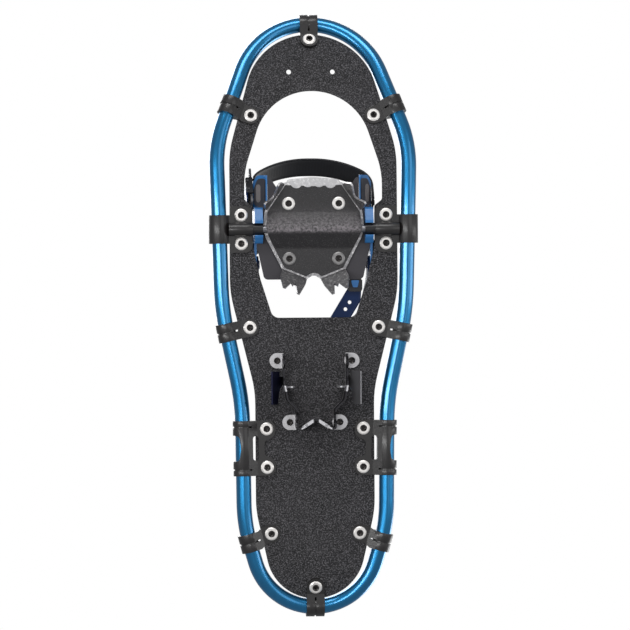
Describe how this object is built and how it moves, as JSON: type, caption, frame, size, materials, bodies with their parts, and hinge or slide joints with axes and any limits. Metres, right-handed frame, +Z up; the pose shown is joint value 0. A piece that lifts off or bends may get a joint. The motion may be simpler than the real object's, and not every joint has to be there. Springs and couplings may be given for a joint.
{
  "type": "snowshoe",
  "caption": "Snowshoe with a bent tubular frame, clipped-on plastic deck, pivoting toe binding with ratchet straps, and steel toe and heel crampons.",
  "frame": {"origin": "middle of the bounding box's underside: on the ground under the middle of the frame, with the crampon points on the ground", "axes": "+Y towards the turned-up toe, +X towards the wearer's right, +Z up"},
  "size_m": [0.221, 0.637, 0.1145],
  "materials": {
    "anodised_blue": "satin",
    "aluminium_plain": "satin",
    "deck_plastic": "textured",
    "clip_plastic": "semi-gloss",
    "rivet_black": "satin",
    "washer_steel": "satin",
    "crampon_steel": "satin",
    "axle_steel": "satin",
    "cover_plastic": "textured",
    "footbed_plastic": "matte",
    "blue_plastic": "semi-gloss",
    "pad_rubber": "matte",
    "insert_rubber": "matte",
    "strap_plastic": "satin",
    "ladder_plastic": "semi-gloss",
    "buckle_plastic": "semi-gloss",
    "cushion_fabric": "woven",
    "navy_strap": "satin",
    "bush_nylon": "satin"
  },
  "bodies": {
    "snowshoe_frame": {"axle_bushes": "bush_nylon", "axle_clamp_left": "clip_plastic", "axle_clamp_right": "clip_plastic", "axle_clamp_rivets": "rivet_black", "axle_clamp_washers": "washer_steel", "clip_rivets": "rivet_black", "clip_washers": "washer_steel", "deck": "deck_plastic", "frame_joint_sleeves": "aluminium_plain", "front_clip_left": "clip_plastic", "front_clip_right": "clip_plastic", "front_frame_tube": "anodised_blue", "heel_crampon": "crampon_steel", "heel_crampon_rivets": "rivet_black", "heel_pad": "footbed_plastic", "long_clip_left": "clip_plastic", "long_clip_right": "clip_plastic", "mid_clip_left": "clip_plastic", "mid_clip_right": "clip_plastic", "nose_clip": "clip_plastic", "rear_clip_left": "clip_plastic", "rear_clip_right": "clip_plastic", "rear_frame_tube": "anodised_blue", "tail_clip": "clip_plastic"},
    "binding": {"pivot_axle": "axle_steel", "axle_spacers": "bush_nylon", "toe_crampon": "crampon_steel", "anti_snow_plate": "cover_plastic", "crampon_rivets": "rivet_black", "crampon_washers": "washer_steel", "footbed": "footbed_plastic", "binding_wing_right": "blue_plastic", "binding_wing_left": "blue_plastic", "toe_pad_right": "pad_rubber", "toe_pad_left": "pad_rubber", "toe_pad_inserts": "insert_rubber", "wing_screws": "washer_steel", "toe_strap": "strap_plastic", "toe_ladder": "ladder_plastic", "toe_buckle_base": "buckle_plastic", "toe_buckle_pins": "axle_steel", "instep_strap": "strap_plastic", "instep_ladder": "ladder_plastic", "instep_cushion": "cushion_fabric", "instep_buckle_base": "buckle_plastic", "instep_buckle_pins": "axle_steel", "strap_rivets": "rivet_black", "heel_strap_pivots": "axle_steel", "heel_strap_keeper": "buckle_plastic", "keeper_clip": "blue_plastic", "heel_strap_tail": "navy_strap"},
    "toe_lever": {"toe_buckle_lever": "buckle_plastic"},
    "toe_pawl": {"toe_buckle_pawl": "buckle_plastic"},
    "instep_lever": {"instep_buckle_lever": "buckle_plastic"},
    "instep_pawl": {"instep_buckle_pawl": "buckle_plastic"},
    "heel_loop": {"heel_strap": "navy_strap"}
  },
  "joints": [
    {"name": "binding_pivot", "type": "hinge", "parent": "snowshoe_frame", "child": "binding", "pos_m": [0, 0.09, 0.0208], "axis": [-1, 0, 0], "range_deg": [0, 70]},
    {"name": "heel_strap_hinge", "type": "hinge", "parent": "binding", "child": "heel_loop", "pos_m": [0, 0.053, 0.043], "axis": [-1, 0, 0], "range_deg": [0, 60]},
    {"name": "toe_lever_hinge", "type": "hinge", "parent": "binding", "child": "toe_lever", "pos_m": [0.0679, 0.13383, 0.05806], "axis": [0, -0.6691, 0.7431], "range_deg": [0, 75]},
    {"name": "toe_pawl_hinge", "type": "hinge", "parent": "binding", "child": "toe_pawl", "pos_m": [0.067, 0.12491, 0.05003], "axis": [0, 0.6691, -0.7431], "range_deg": [0, 12], "stiffness_Nm_per_rad": 0.01},
    {"name": "instep_lever_hinge", "type": "hinge", "parent": "binding", "child": "instep_lever", "pos_m": [0.0679, 0.07574, 0.07105], "axis": [0, -0.9703, 0.2419], "range_deg": [0, 75]},
    {"name": "instep_pawl_hinge", "type": "hinge", "parent": "binding", "child": "instep_pawl", "pos_m": [0.067, 0.07284, 0.05941], "axis": [0, 0.9703, -0.2419], "range_deg": [0, 12], "stiffness_Nm_per_rad": 0.01}
  ]
}
